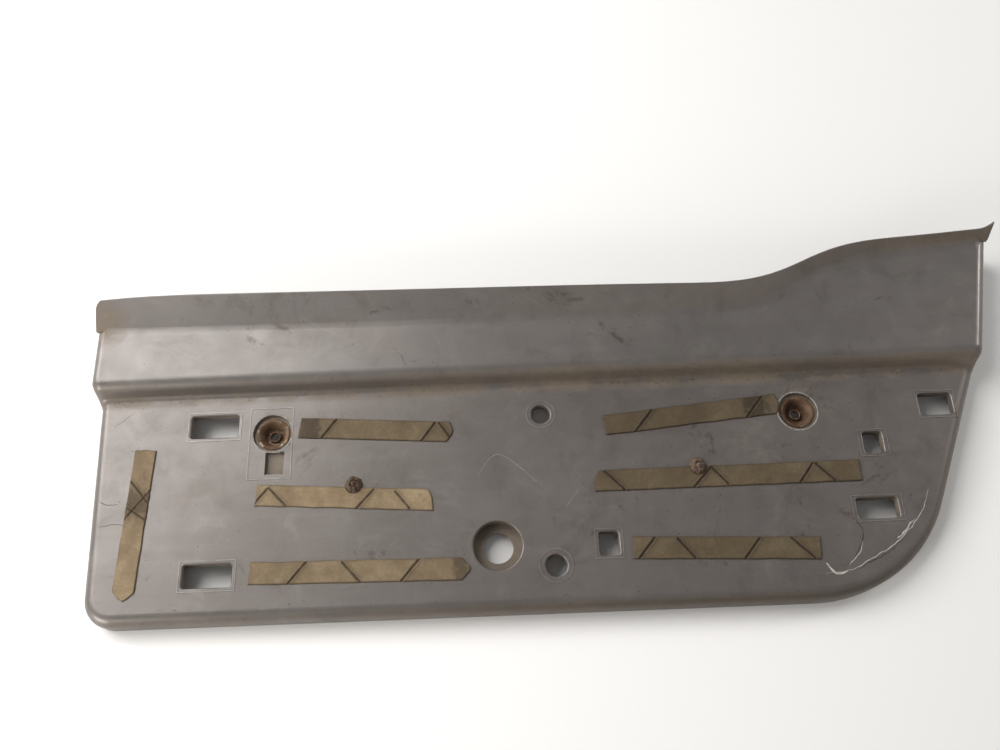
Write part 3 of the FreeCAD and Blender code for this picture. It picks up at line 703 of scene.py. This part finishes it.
def make_burr(side, height, material):
    """The lumpy collar of torn plastic and rust round the place where a screw breaks through."""
    centre = middle_of("screw_" + side)
    loop = rounded_loop([(2.3, -0.2), (2.35, height - 0.5), (2.9, height), (3.9, height - 0.35), (4.8, 2.1),
                         (5.5, 1.0), (6.3, 0.1), (6.3, -0.2)], 2)
    around = 84
    points = []
    for radius, rise in loop:
        for step in range(around):
            angle = 2 * math.pi * step / around
            spoke = Vector((math.cos(angle), math.sin(angle), 0))
            lump = noise.noise(Vector((spoke.x * 1.9, spoke.y * 1.9, centre.x * 50)))
            fine = noise.noise(Vector((spoke.x * 7, spoke.y * 7, rise * 1.7)))
            grow = 1 + 0.16 * lump + 0.08 * fine if radius > 2.6 else 1
            lift = rise * (1 + 0.32 * lump + 0.18 * fine) if rise > 0 else rise
            points.append(Vector((centre.x, centre.y, FACE_Z + lift * MM)) + spoke * radius * grow * MM)
    faces = grid_faces(len(loop), around, wrap=True)
    last = (len(loop) - 1) * around
    faces += [(last + step, last + (step + 1) % around, (step + 1) % around, step) for step in range(around)]
    add_piece("screw_burr_" + side, points, faces, material, "grey_plastic")


# ------------------------------------------------------------------ marks on the panel

def make_marks(pale, dark, stress):
    lines = [
        ("scratch_fold_left", [(-57, -41), (-41, -25), (-12, -49)], 0.5, 0.10, pale, 0.2),
        ("scratch_fold_right", [(15, -49), (2, -66)], 0.4, 0.10, pale, 0.2),
        ("scratch_corner", [(-313.6, 6.6), (-307, 11), (-299, 17.6)], 0.5, 0.10, dark, 0.3),
        ("crack_arc", [(250, -60), (244, -74), (234, -86), (219, -99), (203, -107), (189, -114), (171, -116)],
         0.8, 0.2, stress, 0.7),
        # A painted shadow: a dark strip laid beside the crack where its shade falls.
        ("crack_shadow", [(231, -91), (217, -102), (203, -109), (188, -116)], 1.3, 0.06, dark, 0.9),
        ("crack_notch", [(195, -79), (200, -88), (197, -98), (191, -107)], 1.4, 0.2, dark, 0.9),
        ("crack_branch", [(199, -95), (196, -103), (187, -111)], 0.8, 0.25, stress, 0.6),
        ("chip_arc", [(236, -82), (229, -89), (222, -95)], 1.6, 0.2, stress, 0.8),
        ("chip_low", [(172, -109), (178, -116), (186, -115)], 1.7, 0.25, stress, 0.9),
        ("scrape_left_end", [(-318, -46), (-312, -50), (-303, -50)], 0.7, 0.15, dark, 0.5),
        ("scrape_left_low", [(-316, -66), (-303, -64), (-296, -66)], 0.6, 0.12, dark, 0.5),
        ("smear_right", [(150, 12), (156, 4), (166, 14)], 0.5, 0.08, dark, 0.8),
        ("drag_left", [(-262, -32), (-268, -52), (-269, -66)], 0.6, 0.08, pale, 0.5),
    ]
    for number, (name, points, width, height, material, wander) in enumerate(lines):
        surface_line(name, points, width, height, material, wander=wander, seed=number * 2.3)


def make_crumbs(material):
    """Dry crumbs of dirt along the step, the lip and the edges of the tapes."""
    points, faces = [], []
    spots = []
    for _ in range(230):
        spots.append((DRAW.uniform(-322, 280), STEP_LINE + DRAW.gauss(-1.5, 3.2), DRAW.uniform(0.2, 0.65)))
    for _ in range(60):
        spots.append((DRAW.uniform(-320, 190), -127 + abs(DRAW.gauss(0, 4)), DRAW.uniform(0.2, 0.6)))
    for node in TAPES:
        low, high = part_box(node)
        for _ in range(26):
            x = DRAW.uniform(low.x, high.x) / MM
            y = DRAW.choice((low.y, high.y)) / MM + DRAW.gauss(0, 2.2)
            spots.append((x, y, DRAW.uniform(0.15, 0.5)))
    for _ in range(120):
        spots.append((DRAW.uniform(-318, 300), DRAW.uniform(-120, 110), DRAW.uniform(0.15, 0.45)))
    for x, y, size in spots:
        hit = PANEL_SKIN.ray_cast(Vector((x * MM, y * MM, 0.1)), Vector((0, 0, -1)))[0]
        if hit is None or hit.z < FACE_Z - 1.0 * MM:
            continue
        add_lump(points, faces, hit, size * MM, DRAW.uniform(0.25, 0.6))
    add_piece("dirt_crumbs", points, faces, material, "grey_plastic")


def add_lump(points, faces, place, size, flatness):
    """One small irregular lump, as an uneven six-sided bead with a point on top."""
    first = len(points)
    sides = 6
    turn = DRAW.uniform(0, 6)
    long_way = DRAW.uniform(1.0, 2.4)
    lean = DRAW.uniform(0, math.pi)
    for radius, height in ((0.55, -0.3), (1.0, 0.15), (0.7, 0.75)):
        for step in range(sides):
            angle = turn + 2 * math.pi * step / sides
            reach = radius * DRAW.uniform(0.75, 1.2) * size / 2
            offset = Vector((math.cos(angle) * reach * long_way, math.sin(angle) * reach,
                             height * size * flatness))
            offset.rotate(Quaternion((0, 0, 1), lean))
            points.append(place + offset)
    points.append(place + Vector((0, 0, size * flatness)))
    faces += grid_faces(3, sides, first=first, wrap=True)
    crown = first + 3 * sides
    top_ring = first + 2 * sides
    faces += [(top_ring + step, top_ring + (step + 1) % sides, crown) for step in range(sides)]
    faces.append(tuple(first + step for step in range(sides - 1, -1, -1)))


# ------------------------------------------------------------------ the whole scene

make_camera()
make_light()
make_floor()

PLASTIC = panel_plastic()
FOAM = tape_foam()
# Lit and shaded copies of one rusty steel: the right cup's colours are about half the left's, painted shade for
# the lesser light at the right end, with a little more rust.
CUP_LEFT_LIT = rusty_steel("cup_left_rusty_steel_lit", (0.29, 0.225, 0.16), (0.070, 0.037, 0.021), 0.72)
CUP_RIGHT_SHADED = rusty_steel("cup_right_rusty_steel_shaded", (0.16, 0.12, 0.085), (0.034, 0.020, 0.013), 0.80)
EYELET = rusty_steel("eyelet_steel", (0.16, 0.11, 0.085), (0.06, 0.034, 0.022), 0.7)
SCREW = rusty_steel("screw_steel_aged", (0.22, 0.17, 0.13), (0.07, 0.043, 0.028), 0.7)
BURR = crust("burr_crust", (0.050, 0.032, 0.021), (0.15, 0.105, 0.072), 0.75, 520.0)
CRUMB = crust("dirt_dry", (0.022, 0.015, 0.010), (0.075, 0.052, 0.034), 0.85)
SCRATCH = crust("scratch_pale", (0.22, 0.21, 0.20), (0.34, 0.33, 0.31), 0.5)
MARK_DARK_AND_SHADOW = crust("mark_dark_and_shadow", (0.035, 0.027, 0.022), (0.08, 0.064, 0.052), 0.6)
SEAT_LIP = crust("seat_lip_worn", (0.12, 0.105, 0.092), (0.36, 0.34, 0.31), 0.45, 260.0)
STRESS = crust("stress_white", (0.30, 0.28, 0.25), (0.60, 0.57, 0.52), 0.55)

PANEL.data.materials.clear()
PANEL.data.materials.append(PLASTIC)

for tape_node in TAPES:
    make_tape(tape_node, FOAM)
for side_name, metal in (("left", CUP_LEFT_LIT), ("right", CUP_RIGHT_SHADED)):
    make_cup(side_name, metal, EYELET, SEAT_LIP)
for screw_node in SCREWS:
    make_screw(screw_node, SCREW)
make_burr("left", 4.6, BURR)
make_burr("right", 3.7, BURR)
make_marks(SCRATCH, MARK_DARK_AND_SHADOW, STRESS)
make_crumbs(CRUMB)
